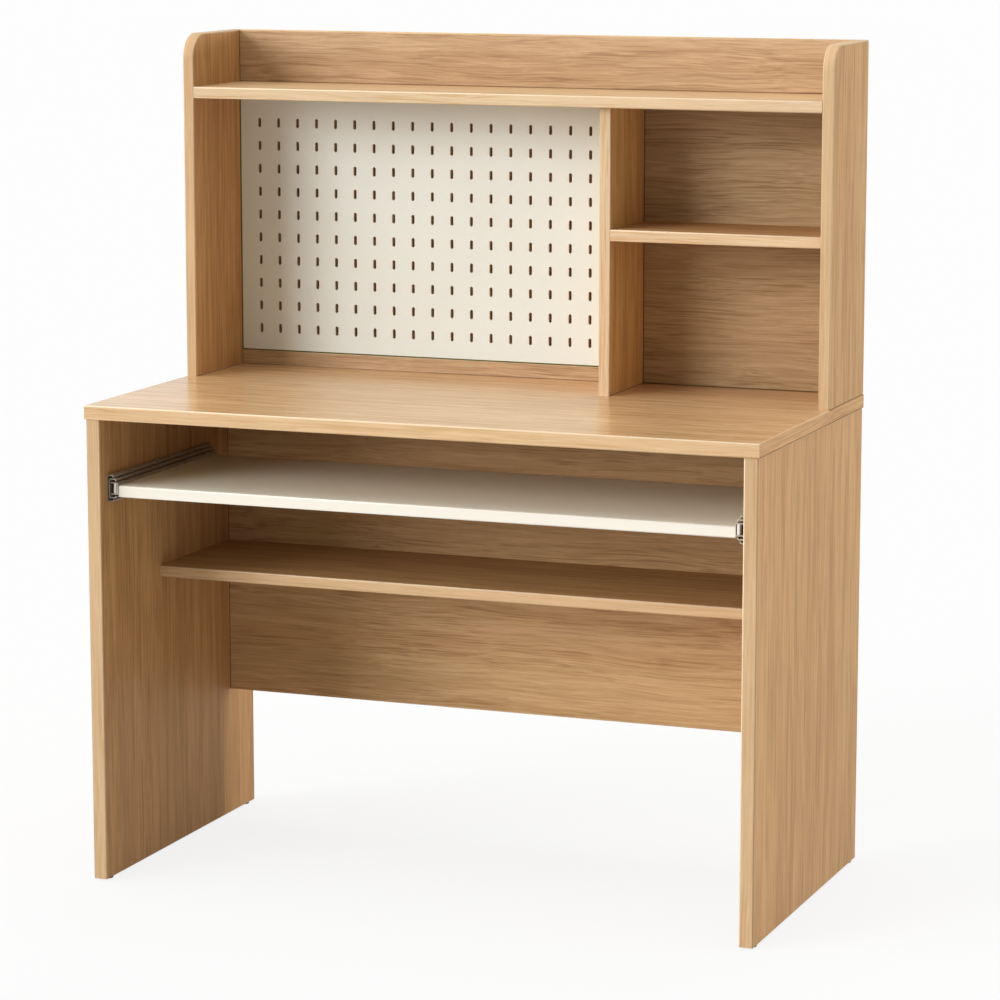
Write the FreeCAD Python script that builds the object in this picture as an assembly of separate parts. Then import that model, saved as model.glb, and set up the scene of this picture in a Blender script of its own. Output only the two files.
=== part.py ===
import FreeCAD, Part
import math
import os

# Student desk with a hutch and a pull-out keyboard tray.
# Millimetres. +X to the right of someone sitting at it, +Y to the back, +Z up.
# Origin on the floor under the middle of the overall box.

os.makedirs("parts", exist_ok=True)
V = FreeCAD.Vector

# ---------------------------------------------------------------- desk
DESK_W = 1080.0          # desktop, over its end bands
DESK_D = 550.0           # desktop, front to back
DESK_H = 750.0           # top face above the floor
TOP_T = 22.0             # desktop board
SIDE_T = 22.0            # desk side boards
TOP_PROUD = 2.0          # desktop past the sides, at the front and the ends
BAND_T = 2.0             # glued edge band
GLIDE_R = 10.0
GLIDE_T = 3.0
GLIDE_EDGE = 0.9         # rounding round the glide's foot
GLIDE_INSET = 22.0       # glide centre from the panel's front or back edge
GLIDE_PIN_R = 1.2
GLIDE_PIN_L = 14.0

MODESTY_T = 18.0
MODESTY_FRONT = 460.0    # its front face, behind the desktop's front edge
MODESTY_BOTTOM = 213.0
SHELF_T = 18.0           # lower shelf board
SHELF_FRONT = 205.0      # its front edge, behind the desktop's front edge
SHELF_TOP = 466.0

# ---------------------------------------------------------------- tray and slides
TRAY_T = 18.0
TRAY_DROP = 126.5        # tray's top face below the desktop's
TRAY_FRONT = 27.0        # behind the desktop's front edge
TRAY_D = 335.0
SLIDE_GAP = 19.0         # side panel to tray end, filled by the slide
SLIDE_RISE = 4.5         # slide's middle above the tray board's middle
SLIDE_FRONT = 25.0       # behind the desktop's front edge
SLIDE_L = 350.0
SHEET_T = 1.5            # rolled steel of the slide members
CAB_BEND = 3.5           # outer bend radii of the three members
MID_BEND = 2.6
TRAY_BEND = 2.4
CAB_H = 21.0             # half heights of the three members
MID_H = 15.3
TRAY_H = 9.6
CAB_FAR = 12.0           # their reach from the side panel's inner face
MID_NEAR = 3.6
MID_FAR = 16.0
TRAY_NEAR = 7.2
CAB_LIP = 2.3
MID_LIP = 2.0
BALL_R = 2.0
BALL_PITCH = 24.0
BALL_END = 16.0          # first ball from its cage's end
BALL_PLAY = 0.3          # ball in its cage window
CAGE_T = 0.8
CAGE_FRONT = 75.0        # cage's front end behind the slide's front end
CAGE_L = 200.0
OUT_BALL_AT = 6.6
OUT_BALL_W = 17.4        # half distance between the two outer rows
OUT_CAGE_NEAR = 2.0
OUT_CAGE_FAR = 10.0
IN_BALL_AT = 11.0
IN_BALL_W = 11.7
IN_CAGE_NEAR = 5.5
IN_CAGE_FAR = 14.2
NOTCH_AT = 150.0         # latch notch in the top lip, behind the slide's front end
NOTCH_L = 6.0
NOTCH_DEEP = 4.0
BUMPER_L = 9.0
BUMPER_W = 7.0
BUMPER_R = 2.0

# ---------------------------------------------------------------- hutch
HUTCH_H = 550.0          # above the desktop
HUTCH_INSET = 1.0        # hutch sides in from the desktop's ends
HUTCH_D = 190.0
BOARD_T = 18.0
CORNER_R = 40.0          # front top corner of the hutch sides
UP_RAIL_H = 84.0         # upper back rail, above the top shelf
RAIL_T = 15.0            # upper and lower back rails
LOW_RAIL_H = 24.0
CUBBY_W = 343.0          # between the divider and the hutch's right side
DIVIDER_SET = 20.0       # divider's front edge behind the hutch's
CUBBY_RISE = 260.0       # cubby shelf's top face above the desktop
PEG_T = 6.0
PEG_PROUD = 1.0          # pegboard's face in front of the lower rail's
PANEL_T = 5.0
PANEL_BACK = 4.0         # cubby back panel's rear face, in from the desk's back
BACKING_T = 3.0          # hardboard that closes the back of the pegboard bay
BACKING_BACK = 2.5       # its rear face, in from the desk's back
GROOVE_D = 5.0
GROOVE_END = 0.5         # panel edge to groove bottom

SLOT_W = 5.0
SLOT_L = 15.0
SLOT_PX = 33.9           # column to column
SLOT_PZ = 37.6           # row to row
SLOT_SIDE = 30.0         # least distance of a column from the boards beside it
SLOT_UP = 37.0           # bottom row's middle above the pegboard's bottom edge
SLOT_DOWN = 40.0         # least distance of the top row from the top shelf

# ---------------------------------------------------------------- fittings
FIT = 0.1                # screws and dowels in their holes
HOLE_END = 0.5           # hole past the end of what is in it
CAM_R = 7.5
CAM_T = 12.5
CAM_AT = 34.0            # cam's middle from the joint
CAM_SLOT = 2.2
BOLT_R = 3.0
BOLT_IN = 11.0
BOLT_NECK = 4.0
BORE_R = 3.6
DOWEL_R = 4.0
DOWEL_L = 30.0
DOWEL_TIP = 1.0
BRACKET_LEG = 20.0
BRACKET_T = 2.0
BRACKET_W = 16.0
BRACKET_HOLE = 12.4      # screw from the bracket's corner
BRACKET_HEAD = 2.2
PIN_R = 2.5
PIN_IN = 8.0
PIN_W = 6.0
SPOON_L = 9.0
SPOON_T = 1.5
ROOT_H = 5.4
DRIVE_W = 0.9            # width of a cross recess
TIP_R = 0.3
PANEL_SCREW = {"r": 2.5, "length": 50.0, "head_r": 4.8}
RAIL_SCREW = {"r": 2.0, "length": 38.0, "head_r": 3.8}
SLIDE_SCREW = {"r": 1.9, "length": 17.0, "head_r": 3.6}
SMALL_SCREW = {"r": 1.75, "length": 14.0, "head_r": 3.4}

DOWEL_END = 60.0         # fittings from the ends of their boards
CAM_END = 60.0
CAM_DOWEL = 50.0         # dowel beside a cam
SHELF_CAM_END = 50.0
SHELF_SCREW_END = 216.0
MODESTY_DOWEL_END = 150.0
BRACKET_END = 125.0
RAIL_SCREW_END = 35.0
TRAY_SCREW_END = 45.0
HUTCH_CAM_END = 45.0
DIVIDER_END = 40.0
LOW_RAIL_END = 121.0
UP_RAIL_END = 141.0
PIN_END = 35.0

# ---------------------------------------------------------------- derived places
FRONT = -DESK_D / 2.0
BACK = DESK_D / 2.0
TOTAL_H = DESK_H + HUTCH_H
TOP_Z0 = DESK_H - TOP_T
SIDE_X1 = DESK_W / 2.0 - TOP_PROUD
SIDE_X0 = SIDE_X1 - SIDE_T
SIDE_Y0 = FRONT + TOP_PROUD
MOD_Y0 = FRONT + MODESTY_FRONT
MOD_Y1 = MOD_Y0 + MODESTY_T
SHELF_Y0 = FRONT + SHELF_FRONT
SHELF_Z0 = SHELF_TOP - SHELF_T
TRAY_TOP = DESK_H - TRAY_DROP
TRAY_X = SIDE_X0 - SLIDE_GAP
TRAY_Y0 = FRONT + TRAY_FRONT
TRAY_Y1 = TRAY_Y0 + TRAY_D
TRAY_Z0 = TRAY_TOP - TRAY_T
SLIDE_Y0 = FRONT + SLIDE_FRONT
SLIDE_Y1 = SLIDE_Y0 + SLIDE_L
SLIDE_Z = TRAY_TOP - TRAY_T / 2.0 + SLIDE_RISE
CAGE_Y0 = SLIDE_Y0 + CAGE_FRONT
HX1 = DESK_W / 2.0 - HUTCH_INSET
HX0 = HX1 - BOARD_T
HY0 = BACK - HUTCH_D
TOPSHELF_TOP = TOTAL_H - UP_RAIL_H
TS_Z0 = TOPSHELF_TOP - BOARD_T
RAIL_Y0 = BACK - RAIL_T
DIV_X1 = HX0 - CUBBY_W
DIV_X0 = DIV_X1 - BOARD_T
DIV_Y0 = HY0 + DIVIDER_SET
PEG_Y0 = RAIL_Y0 - PEG_PROUD
PEG_Z0 = DESK_H + LOW_RAIL_H
PANEL_Y1 = BACK - PANEL_BACK
PANEL_Y0 = PANEL_Y1 - PANEL_T
BACKING_Y1 = BACK - BACKING_BACK
BACKING_Y0 = BACKING_Y1 - BACKING_T
CUBBY_TOP = DESK_H + CUBBY_RISE
CUBBY_Z0 = CUBBY_TOP - BOARD_T
BAR = GROOVE_D - GROOVE_END

X = V(1, 0, 0)
Y = V(0, 1, 0)
Z = V(0, 0, 1)

holes = {}
hardware = {}


# ---------------------------------------------------------------- helpers
def box(x, y, z):
    """Box from three (low, high) pairs."""
    low = V(x[0], y[0], z[0])
    return Part.makeBox(x[1] - x[0], y[1] - y[0], z[1] - z[0], low)


def rod(p, d, r, length):
    return Part.makeCylinder(r, length, p, d)


def spread(low, high, end, count):
    """Places from low + end to high - end, evenly apart."""
    step = (high - low - 2 * end) / (count - 1)
    return [low + end + step * i for i in range(count)]


def drill(board, tool):
    holes.setdefault(board, []).append(tool)


def fit(node, solid):
    hardware.setdefault(node, []).append(solid)


def save(name, shape):
    shape.exportStep("parts/" + name + ".step")


def board(name, shape):
    """A board with every hole that its fittings need."""
    tools = holes.get(name, [])
    if tools:
        shape = shape.cut(Part.makeCompound(tools))
    save(name, shape)


def group(name, solids):
    save(name, solids[0] if len(solids) == 1 else Part.makeCompound(solids))


def flip(shape):
    """The same piece on the other side of the desk."""
    return shape.mirror(V(0, 0, 0), X)


def cross(d):
    """Two directions square to d."""
    a = Z if abs(d.z) < 0.5 else X
    b = d.cross(a)
    b.normalize()
    return a, b


# ---------------------------------------------------------------- fittings
def recess(p, d, reach, depth):
    """Cross recess cut into a head at p, looking along d."""
    a, b = cross(d)
    w = DRIVE_W / 2.0
    cuts = []
    for u, v in ((a, b), (b, a)):
        corners = [p + u * reach + v * w, p - u * reach + v * w,
                   p - u * reach - v * w, p + u * reach - v * w]
        face = Part.Face(Part.makePolygon(corners + corners[:1]))
        cuts.append(face.extrude(d * depth))
    return cuts[0].fuse(cuts[1])


def shank(p, d, r, length, grow=0.0):
    """Plain shank with a pointed end."""
    body = rod(p, d, r + grow, length - 2 * r)
    point = Part.makeCone(r + grow, TIP_R + grow, 2 * r, p + d * (length - 2 * r), d)
    return body.fuse(point)


def flat_screw(p, d, size, grow=0.0):
    """Countersunk screw: head face at p, pointing along d; grown, its hole."""
    r, head_r = size["r"], size["head_r"]
    cone_h = head_r - r
    head = Part.makeCone(head_r + grow, r + grow, cone_h, p, d)
    length = size["length"] - cone_h
    screw = head.fuse(shank(p + d * cone_h, d, r, length, grow))
    if grow > 0.0:
        return screw.fuse(rod(p + d * size["length"], d, TIP_R + grow, HOLE_END))
    return screw.cut(recess(p, d, head_r * 0.6, cone_h * 0.6))


def pan_screw(p, d, size, head_h):
    """Pan head screw: the head's underside at p, pointing along d."""
    top = p - d * head_h
    head = rod(top, d, size["head_r"], head_h)
    rim = [e for e in head.Edges
           if len(e.Vertexes) == 1 and (e.BoundBox.Center - top).Length < head_h * 0.1]
    head = head.makeFillet(head_h * 0.45, rim[:1])
    screw = head.fuse(shank(p, d, size["r"], size["length"]))
    return screw.cut(recess(top, d, size["head_r"] * 0.6, head_h * 0.6))


def screw_through(node, p, d, size, boards):
    fit(node, flat_screw(p, d, size))
    tool = flat_screw(p, d, size, FIT)
    for name in boards:
        drill(name, tool)


def dowel(p, d, boards):
    """Wood dowel centred on the joint at p."""
    start = p - d * (DOWEL_L / 2.0)
    pin = rod(start, d, DOWEL_R, DOWEL_L)
    ends = [e for e in pin.Edges if e.Curve.TypeId == "Part::GeomCircle"]
    fit("wood_dowels", pin.makeChamfer(DOWEL_TIP, ends))
    tool = rod(start - d * HOLE_END, d, DOWEL_R + FIT, DOWEL_L + 2 * HOLE_END)
    for name in boards:
        drill(name, tool)


def cam_joint(p, d, n, skin, threaded, bored, group_name):
    """Bolt from the joint at p into the bored board along d; its cam is let
    into that board from the face whose outward direction is n, skin away."""
    neck_at = CAM_AT - BOLT_R / 2.0 - BOLT_NECK
    stem = rod(p - d * BOLT_IN, d, BOLT_R, BOLT_IN + neck_at)
    neck = rod(p + d * neck_at, d, BOLT_R * 0.6, BOLT_NECK)
    head = Part.makeSphere(BOLT_R, p + d * (neck_at + BOLT_NECK))
    fit(group_name + "_cam_bolts", stem.fuse(neck).fuse(head))
    drill(threaded, rod(p - d * (BOLT_IN + HOLE_END), d, BOLT_R + FIT, BOLT_IN + HOLE_END))
    drill(bored, rod(p, d, BORE_R, CAM_AT - BOLT_NECK))
    face = p + d * CAM_AT + n * skin
    disc = rod(face, n * -1.0, CAM_R, CAM_T)
    mouth = rod(p + d * (CAM_AT - CAM_R - FIT), d, BORE_R, CAM_R + BORE_R)
    disc = disc.cut(mouth).cut(recess(face, n * -1.0, CAM_R * 0.55, CAM_SLOT))
    fit(group_name + "_cam_locks", disc)
    drill(bored, rod(face + n * FIT, n * -1.0, CAM_R + FIT, CAM_T + 2 * FIT))


# ---------------------------------------------------------------- desk
def desk_fittings():
    low_z = SHELF_Z0 + SHELF_T / 2.0
    mod_y = MOD_Y0 + MODESTY_T / 2.0
    side_mid = SIDE_X0 + SIDE_T / 2.0
    for s, side in ((-1, "left_side_panel"), (1, "right_side_panel")):
        inward = V(-s, 0, 0)
        for y in spread(FRONT, BACK, DOWEL_END, 3):
            dowel(V(s * side_mid, y, TOP_Z0), Z, ("desktop", side))
        for z in spread(MODESTY_BOTTOM, TOP_Z0, CAM_END, 2):
            cam_joint(V(s * SIDE_X0, mod_y, z), inward, Y, MODESTY_T / 2.0,
                      side, "modesty_panel", "desk")
        for z in spread(MODESTY_BOTTOM, TOP_Z0, CAM_END + CAM_DOWEL, 2):
            dowel(V(s * SIDE_X0, mod_y, z), X, ("modesty_panel", side))
        for y in spread(SHELF_Y0, MOD_Y0, SHELF_CAM_END, 2):
            cam_joint(V(s * SIDE_X0, y, low_z), inward, Z * -1.0, SHELF_T / 2.0,
                      side, "lower_shelf", "desk")
        dowel(V(s * SIDE_X0, (SHELF_Y0 + MOD_Y0) / 2.0, low_z), X, ("lower_shelf", side))
        brackets(s, side)
        for y in (SIDE_Y0 + GLIDE_INSET, BACK - GLIDE_INSET):
            glide(V(s * side_mid, y, 0.0), side)
    for x in spread(-SIDE_X0, SIDE_X0, SHELF_SCREW_END, 3):
        screw_through("shelf_screws", V(x, MOD_Y1, low_z), Y * -1.0, PANEL_SCREW,
                      ("modesty_panel", "lower_shelf"))
    for x in spread(-SIDE_X0, SIDE_X0, MODESTY_DOWEL_END, 4):
        dowel(V(x, mod_y, TOP_Z0), Z, ("desktop", "modesty_panel"))


def brackets(s, side):
    """Two steel angles under the desktop, each with two pan head screws."""
    wall = s * SIDE_X0
    leg = sorted((wall, wall - s * BRACKET_LEG))
    web = sorted((wall, wall - s * BRACKET_T))
    for y in spread(SIDE_Y0, MOD_Y0, BRACKET_END, 2):
        span = (y - BRACKET_W / 2.0, y + BRACKET_W / 2.0)
        angle = box(web, span, (TOP_Z0 - BRACKET_LEG, TOP_Z0))
        angle = angle.fuse(box(leg, span, (TOP_Z0 - BRACKET_T, TOP_Z0))).removeSplitter()
        a = V(wall - s * BRACKET_T, y, TOP_Z0 - BRACKET_HOLE)
        b = V(wall - s * BRACKET_HOLE, y, TOP_Z0 - BRACKET_T)
        for p, d, name in ((a, V(s, 0, 0), side), (b, Z, "desktop")):
            fit("bracket_screws", pan_screw(p, d, SMALL_SCREW, BRACKET_HEAD))
            hole = rod(p, d, SMALL_SCREW["r"] + FIT, SMALL_SCREW["length"] + HOLE_END)
            angle = angle.cut(hole)
            drill(name, hole)
        fit("corner_brackets", angle)


def glide(p, side):
    foot = rod(p, Z, GLIDE_R, GLIDE_T)
    edge = [e for e in foot.Edges if e.BoundBox.ZMax < 0.01]
    foot = foot.makeFillet(GLIDE_EDGE, edge)
    fit("floor_glides", foot.fuse(rod(p + Z * GLIDE_T, Z, GLIDE_PIN_R, GLIDE_PIN_L)))
    drill(side, rod(p + Z * GLIDE_T, Z, GLIDE_PIN_R + FIT, GLIDE_PIN_L + HOLE_END))


def desk_boards():
    in_x = DESK_W / 2.0 - BAND_T
    core = box((-in_x, in_x), (FRONT + BAND_T, BACK), (TOP_Z0, DESK_H))
    board("desktop", core)
    wrap = box((-DESK_W / 2.0, DESK_W / 2.0), (FRONT, BACK), (TOP_Z0, DESK_H))
    save("desktop_edge_band", wrap.cut(core))
    for name, x in (("left", (-SIDE_X1, -SIDE_X0)), ("right", (SIDE_X0, SIDE_X1))):
        z = (GLIDE_T, TOP_Z0)
        board(name + "_side_panel", box(x, (SIDE_Y0 + BAND_T, BACK), z))
        save(name + "_side_edge_band", box(x, (SIDE_Y0, SIDE_Y0 + BAND_T), z))
    x = (-SIDE_X0, SIDE_X0)
    y = (MOD_Y0, MOD_Y1)
    board("modesty_panel", box(x, y, (MODESTY_BOTTOM + BAND_T, TOP_Z0)))
    save("modesty_edge_band", box(x, y, (MODESTY_BOTTOM, MODESTY_BOTTOM + BAND_T)))
    z = (SHELF_Z0, SHELF_TOP)
    board("lower_shelf", box(x, (SHELF_Y0 + BAND_T, MOD_Y0), z))
    save("lower_shelf_edge_band", box(x, (SHELF_Y0, SHELF_Y0 + BAND_T), z))


# ---------------------------------------------------------------- tray and slides
def bar(x, half, bend, bent):
    """Bar as long as the slide, its long edges rounded at the x places in bent."""
    block = box(x, (SLIDE_Y0, SLIDE_Y1), (SLIDE_Z - half, SLIDE_Z + half))
    edges = [e for e in block.Edges if e.BoundBox.YLength > SLIDE_L * 0.9
             and min(abs(e.BoundBox.XMin - at) for at in bent) < 0.01]
    return block.makeFillet(bend, edges)


def hooked_channel(near, far, half, lip, bend):
    """Rolled C member of the left slide: web towards the side panel, and its
    two flanges hooked over at the mouth."""
    t = SHEET_T
    a, b = -SIDE_X0 + near, -SIDE_X0 + far
    bore = bar((a + t, b - t), half - t, bend - t, (a + t, b - t))
    low = half - t - lip
    mouth = box((b - 2 * t, b), (SLIDE_Y0, SLIDE_Y1), (SLIDE_Z - low, SLIDE_Z + low))
    return bar((a, b), half, bend, (a, b)).cut(bore).cut(mouth)


def plain_channel(near, far, half, bend):
    """Rolled C member of the left slide with its web against the tray."""
    t = SHEET_T
    a, b = -SIDE_X0 + near, -SIDE_X0 + far
    bore = bar((a, b - t), half - t, bend - t, (b - t,))
    return bar((a, b), half, bend, (b,)).cut(bore)


def cage(near, far, reach, ball_at):
    """Retainer strip bent into a C, with a round window for every ball."""
    t = CAGE_T
    y = (CAGE_Y0, CAGE_Y0 + CAGE_L)
    a, b = (-SIDE_X0 + near, -SIDE_X0 + far)
    body = box((a, b), y, (SLIDE_Z - reach, SLIDE_Z + reach))
    body = body.cut(box((a + t, b), y, (SLIDE_Z - reach + t, SLIDE_Z + reach - t)))
    windows = [rod(V(-SIDE_X0 + ball_at, yb, SLIDE_Z - reach), Z, BALL_R + BALL_PLAY, 2 * reach)
               for yb in ball_places()]
    return body.cut(Part.makeCompound(windows))


def ball_places():
    count = int((CAGE_L - 2 * BALL_END) / BALL_PITCH + 0.01) + 1
    return [CAGE_Y0 + BALL_END + BALL_PITCH * i for i in range(count)]


def balls(ball_at, w):
    return [Part.makeSphere(BALL_R, V(-SIDE_X0 + ball_at, y, SLIDE_Z + s * w))
            for y in ball_places() for s in (-1, 1)]


def cabinet_rail():
    rail = hooked_channel(0.0, CAB_FAR, CAB_H, CAB_LIP, CAB_BEND)
    tip = -SIDE_X0 + CAB_FAR
    y = SLIDE_Y0 + NOTCH_AT
    rail = rail.cut(box((tip - NOTCH_DEEP, tip), (y, y + NOTCH_L), (SLIDE_Z, SLIDE_Z + CAB_H)))
    screws = []
    for y in spread(SLIDE_Y0, SLIDE_Y1, RAIL_SCREW_END, 3):
        p = V(-SIDE_X0 + SHEET_T, y, SLIDE_Z)
        screws.append(flat_screw(p, X * -1.0, SLIDE_SCREW))
        tool = flat_screw(p, X * -1.0, SLIDE_SCREW, FIT)
        rail = rail.cut(tool)
        drill("left_side_panel", tool)
        drill("right_side_panel", flip(tool))
    return rail, screws


def tray_rail():
    rail = plain_channel(TRAY_NEAR, SLIDE_GAP, TRAY_H, TRAY_BEND)
    screws = []
    for y in spread(SLIDE_Y0, TRAY_Y1, TRAY_SCREW_END, 3):
        p = V(-TRAY_X - SHEET_T, y, SLIDE_Z - SLIDE_RISE)
        screws.append(flat_screw(p, X, SLIDE_SCREW))
        tool = flat_screw(p, X, SLIDE_SCREW, FIT)
        rail = rail.cut(tool)
        drill("keyboard_tray", tool)
        drill("keyboard_tray", flip(tool))
    return rail, screws


def bumper():
    """Nylon stop pressed into the front end of the tray member."""
    inner = TRAY_H - SHEET_T
    x = (-TRAY_X - SHEET_T - BUMPER_W, -TRAY_X - SHEET_T)
    block = box(x, (SLIDE_Y0, SLIDE_Y0 + BUMPER_L), (SLIDE_Z - inner, SLIDE_Z + inner))
    return block.makeFillet(BUMPER_R, [e for e in block.Edges
                                       if e.BoundBox.YLength > BUMPER_L * 0.9])


def slides():
    rail, rail_screws = cabinet_rail()
    drawn, drawn_screws = tray_rail()
    edge = CAGE_T / 2.0
    pieces = {
        "cabinet_rail": [rail],
        "cabinet_rail_screws": rail_screws,
        "middle_rail": [hooked_channel(MID_NEAR, MID_FAR, MID_H, MID_LIP, MID_BEND)],
        "tray_rail": [drawn],
        "tray_rail_screws": drawn_screws,
        "outer_ball_cage": [cage(OUT_CAGE_NEAR, OUT_CAGE_FAR, OUT_BALL_W + edge, OUT_BALL_AT)],
        "inner_ball_cage": [cage(IN_CAGE_NEAR, IN_CAGE_FAR, IN_BALL_W + edge, IN_BALL_AT)],
        "outer_balls": balls(OUT_BALL_AT, OUT_BALL_W),
        "inner_balls": balls(IN_BALL_AT, IN_BALL_W),
        "slide_bumper": [bumper()],
    }
    for name, solids in pieces.items():
        group("left_" + name, solids)
        group("right_" + name, [flip(s) for s in solids])


def tray():
    x = (-TRAY_X, TRAY_X)
    z = (TRAY_Z0, TRAY_TOP)
    board("keyboard_tray", box(x, (TRAY_Y0 + BAND_T, TRAY_Y1), z))
    save("tray_edge_band", box(x, (TRAY_Y0, TRAY_Y0 + BAND_T), z))


# ---------------------------------------------------------------- hutch
def side_outline(inset):
    """Hutch side seen from the end: square but for its front top corner."""
    y0 = HY0 + inset
    z1 = TOTAL_H - inset
    r = CORNER_R - inset
    mid = V(0, y0 + r - r * math.sin(math.pi / 4), z1 - r + r * math.sin(math.pi / 4))
    a, b = V(0, y0, z1 - r), V(0, y0 + r, z1)
    base, foot, peak = V(0, y0, DESK_H), V(0, BACK, DESK_H), V(0, BACK, z1)
    edges = [Part.makeLine(base, a), Part.Arc(a, mid, b).toShape(), Part.makeLine(b, peak),
             Part.makeLine(peak, foot), Part.makeLine(foot, base)]
    return Part.Face(Part.Wire(edges))


def hutch_side(s):
    start = V(-HX1 if s < 0 else HX0, 0, 0)
    whole = side_outline(0.0).translated(start).extrude(X * BOARD_T)
    core = side_outline(BAND_T).translated(start).extrude(X * BOARD_T)
    return core, whole.cut(core)


def grooves():
    """Housings for the pegboard, its backing and the cubby back panel."""
    z = (PEG_Z0, TS_Z0)
    for y in ((PEG_Y0, PEG_Y0 + PEG_T), (BACKING_Y0, BACKING_Y1)):
        drill("hutch_left_side", box((-HX0 - GROOVE_D, -HX0), y, z))
        drill("hutch_divider", box((DIV_X0, DIV_X0 + GROOVE_D), y, z))
    panel_y = (PANEL_Y0, PANEL_Y1)
    z = (DESK_H, TS_Z0)
    drill("hutch_divider", box((DIV_X1 - GROOVE_D, DIV_X1), panel_y, z))
    drill("hutch_right_side", box((HX0, HX0 + GROOVE_D), panel_y, z))


def hutch_fittings():
    grooves()
    shelf_mid = TS_Z0 + BOARD_T / 2.0
    rail_mid = RAIL_Y0 + RAIL_T / 2.0
    for s, side in ((-1, "hutch_left_side"), (1, "hutch_right_side")):
        inward = V(-s, 0, 0)
        for y in spread(HY0, BACK, HUTCH_CAM_END, 2):
            cam_joint(V(s * HX0, y, shelf_mid), inward, Z * -1.0, BOARD_T / 2.0,
                      side, "hutch_top_shelf", "hutch")
            dowel(V(s * (HX0 + BOARD_T / 2.0), y, DESK_H), Z, ("desktop", side))
        dowel(V(s * HX0, (HY0 + BACK) / 2.0, shelf_mid), X, ("hutch_top_shelf", side))
        dowel(V(s * HX0, rail_mid, TOTAL_H - UP_RAIL_H / 2.0), X, ("upper_back_rail", side))
    div_mid = DIV_X0 + BOARD_T / 2.0
    for y in spread(DIV_Y0, BACK, DIVIDER_END, 2):
        dowel(V(div_mid, y, TS_Z0), Z, ("hutch_top_shelf", "hutch_divider"))
        screw_through("hutch_fixing_screws", V(div_mid, y, TOP_Z0), Z, PANEL_SCREW,
                      ("desktop", "hutch_divider"))
    for x in spread(-HX0, DIV_X0, LOW_RAIL_END, 3):
        screw_through("rail_screws", V(x, rail_mid, TOP_Z0), Z, RAIL_SCREW,
                      ("desktop", "lower_back_rail"))
    for x in spread(-HX0, HX0, UP_RAIL_END, 3):
        screw_through("rail_screws", V(x, rail_mid, TS_Z0), Z, RAIL_SCREW,
                      ("hutch_top_shelf", "upper_back_rail"))
    for y in spread(DIV_Y0, PANEL_Y0, PIN_END, 2):
        shelf_pin(V(DIV_X1, y, CUBBY_Z0), 1, "hutch_divider")
        shelf_pin(V(HX0, y, CUBBY_Z0), -1, "hutch_right_side")


def shelf_pin(p, s, name):
    """Steel pin in the board, carrying the cubby shelf on its flat spoon."""
    y = (p.y - PIN_W / 2.0, p.y + PIN_W / 2.0)
    mid = p - Z * (ROOT_H / 2.0 + SPOON_T * 0.3)
    stem = rod(mid, V(-s, 0, 0), PIN_R, PIN_IN)
    spoon = box(sorted((p.x, p.x + s * SPOON_L)), y, (p.z - SPOON_T, p.z))
    root = box(sorted((p.x, p.x + s * SPOON_T)), y, (mid.z - PIN_R, p.z))
    fit("shelf_pins", stem.fuse(spoon).fuse(root).removeSplitter())
    drill(name, rod(mid, V(-s, 0, 0), PIN_R + FIT, PIN_IN + HOLE_END))


def slot(x, z):
    """Upright slot with round ends, right through the pegboard."""
    r = SLOT_W / 2.0
    flat = SLOT_L / 2.0 - r
    a, b = V(x - r, PEG_Y0, z - flat), V(x + r, PEG_Y0, z - flat)
    c, d = V(x + r, PEG_Y0, z + flat), V(x - r, PEG_Y0, z + flat)
    low = Part.Arc(a, V(x, PEG_Y0, z - flat - r), b).toShape()
    high = Part.Arc(c, V(x, PEG_Y0, z + flat + r), d).toShape()
    wire = Part.Wire([low, Part.makeLine(b, c), high, Part.makeLine(d, a)])
    return Part.Face(wire).extrude(Y * PEG_T)


def pegboard():
    """Sheet with as many slots, at their pitch, as its face takes."""
    x = (-HX0 - BAR, DIV_X0 + BAR)
    sheet = box(x, (PEG_Y0, PEG_Y0 + PEG_T), (PEG_Z0, TS_Z0))
    width = DIV_X0 + HX0
    columns = int((width - 2 * SLOT_SIDE) / SLOT_PX + 0.01) + 1
    rows = int((TS_Z0 - PEG_Z0 - SLOT_UP - SLOT_DOWN) / SLOT_PZ + 0.01) + 1
    x0 = (DIV_X0 - HX0 - SLOT_PX * (columns - 1)) / 2.0
    z0 = PEG_Z0 + SLOT_UP
    cuts = [slot(x0 + SLOT_PX * i, z0 + SLOT_PZ * j)
            for i in range(columns) for j in range(rows)]
    return sheet.cut(Part.makeCompound(cuts))


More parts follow.
